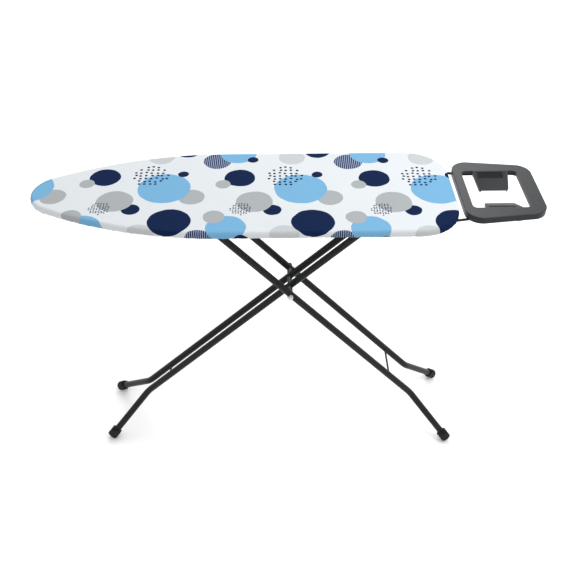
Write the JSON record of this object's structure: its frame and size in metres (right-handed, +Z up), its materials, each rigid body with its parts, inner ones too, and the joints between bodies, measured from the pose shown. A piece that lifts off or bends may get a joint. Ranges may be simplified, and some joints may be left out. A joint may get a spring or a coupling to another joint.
{
  "type": "ironing board",
  "caption": "Free-standing folding ironing board with a printed padded top, crossed splayed tube legs, a notched height rack with release lever and a moulded iron rest.",
  "frame": {"origin": "on the floor, under the middle of the whole length and width", "axes": "+X from the nose of the board to the iron rest, +Z up, +Y across to the left side"},
  "size_m": [1.328, 0.38, 0.85],
  "materials": {
    "cover_fabric": "printed cotton cover, pale with overlapping discs",
    "pad_felt": "soft felt and foam",
    "steel_mesh": "powder coated expanded steel",
    "dark_paint": "gloss black paint",
    "zinc_steel": "bright zinc plate",
    "spring_steel": "drawn spring wire",
    "slate_plastic": "slate grey moulded plastic, satin",
    "black_plastic": "black moulded plastic",
    "black_rubber": "black rubber"
  },
  "bodies": {
    "board": {"cover": "cover_fabric", "underlay_pad": "pad_felt", "mesh_top": "steel_mesh", "board_rim": "dark_paint", "crossbar_rack_nose": "dark_paint", "crossbar_rack_tail": "dark_paint", "crossbar_middle": "dark_paint", "crossbar_hinge": "dark_paint", "crossbar_tail": "dark_paint", "hinge_bracket_left": "dark_paint", "hinge_bracket_right": "dark_paint", "rack_rail_left": "zinc_steel", "rack_rail_right": "zinc_steel", "hinge_rivets": "zinc_steel", "rack_rivets": "zinc_steel", "latch_pin": "zinc_steel", "latch_spring": "spring_steel", "rest_wire": "dark_paint", "wire_clamps": "black_plastic", "clamp_screws": "zinc_steel", "iron_rest_tray": "slate_plastic", "tray_screws": "zinc_steel", "rest_pad_left": "black_rubber", "rest_pad_right": "black_rubber"},
    "inner_leg": {"inner_tube_left": "dark_paint", "inner_tube_right": "dark_paint", "inner_foot_cap_left": "black_rubber", "inner_foot_cap_right": "black_rubber", "inner_brace": "dark_paint", "inner_tube_plugs": "black_plastic", "hinge_rod": "zinc_steel", "hinge_washers": "black_plastic", "hinge_rod_caps": "zinc_steel", "pivot_axle": "zinc_steel", "centre_sleeve": "black_plastic", "side_sleeves": "black_plastic", "pivot_washers": "black_plastic", "pivot_cap_nuts": "zinc_steel"},
    "outer_leg": {"outer_tube_left": "dark_paint", "outer_tube_right": "dark_paint", "outer_foot_cap_left": "black_rubber", "outer_foot_cap_right": "black_rubber", "outer_brace": "dark_paint", "outer_tube_plugs": "black_plastic", "slide_rod": "zinc_steel", "slide_rod_caps": "zinc_steel"},
    "latch": {"latch_comb": "zinc_steel", "lever_rod": "dark_paint", "lever_grip": "black_plastic"}
  },
  "joints": [
    {"name": "stand_fold", "type": "hinge", "parent": "board", "child": "inner_leg", "pos_m": [0.28775, 0, 0.808], "axis": [0, 1, 0], "range_deg": [0, 40.8]},
    {"name": "leg_cross", "type": "hinge", "parent": "inner_leg", "child": "outer_leg", "pos_m": [0.01, 0, 0.5435], "axis": [0, 1, 0], "range_deg": [-85.5, 0]},
    {"name": "latch_squeeze", "type": "hinge", "parent": "board", "child": "latch", "pos_m": [-0.21407, 0, 0.82], "axis": [0, 1, 0], "range_deg": [0, 2.2], "stiffness_Nm_per_rad": 4, "springref_deg": -8.59}
  ],
  "couplings": [
    {"joint": "leg_cross", "follows": "stand_fold", "ratio": -2.0849}
  ]
}
